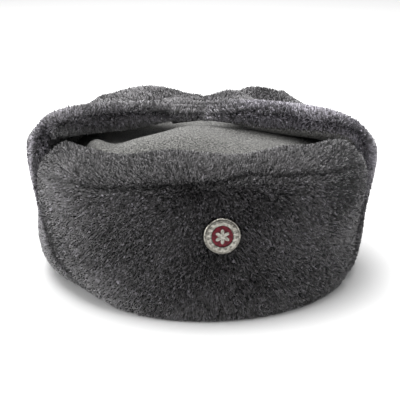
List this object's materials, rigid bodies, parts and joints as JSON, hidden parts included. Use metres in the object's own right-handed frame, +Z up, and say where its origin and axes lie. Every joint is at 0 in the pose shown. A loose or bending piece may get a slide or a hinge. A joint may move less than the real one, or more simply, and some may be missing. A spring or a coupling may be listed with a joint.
{
  "type": "ushanka",
  "caption": "Padded ushanka with a soft cloth crown, a plush front flap and two plush ear flaps turned up and tied on top, and a round metal badge on the front",
  "frame": {"origin": "On the surface the hat rests on, under the middle of its bounding box", "axes": "+X towards the wearer's left (longest extent), +Y from the front of the hat to its back, +Z up (shortest extent)"},
  "size_m": [0.2668, 0.2454, 0.1373],
  "materials": {
    "crown_cloth": "brushed grey woollen cloth over wadding",
    "plush": "short dark grey pile, matt with pale tips",
    "tape": "flat woven tape",
    "badge_metal": "stamped, satin with bright high places",
    "badge_enamel": "dark red glossy enamel"
  },
  "bodies": {
    "root": {"crown": "crown_cloth", "front_flap": "plush", "ear_flap_left": "plush", "ear_flap_right": "plush", "tie_tape": "tape", "badge": "badge_metal", "badge_enamel": "badge_enamel", "badge_rosette": "badge_metal"}
  },
  "joints": []
}
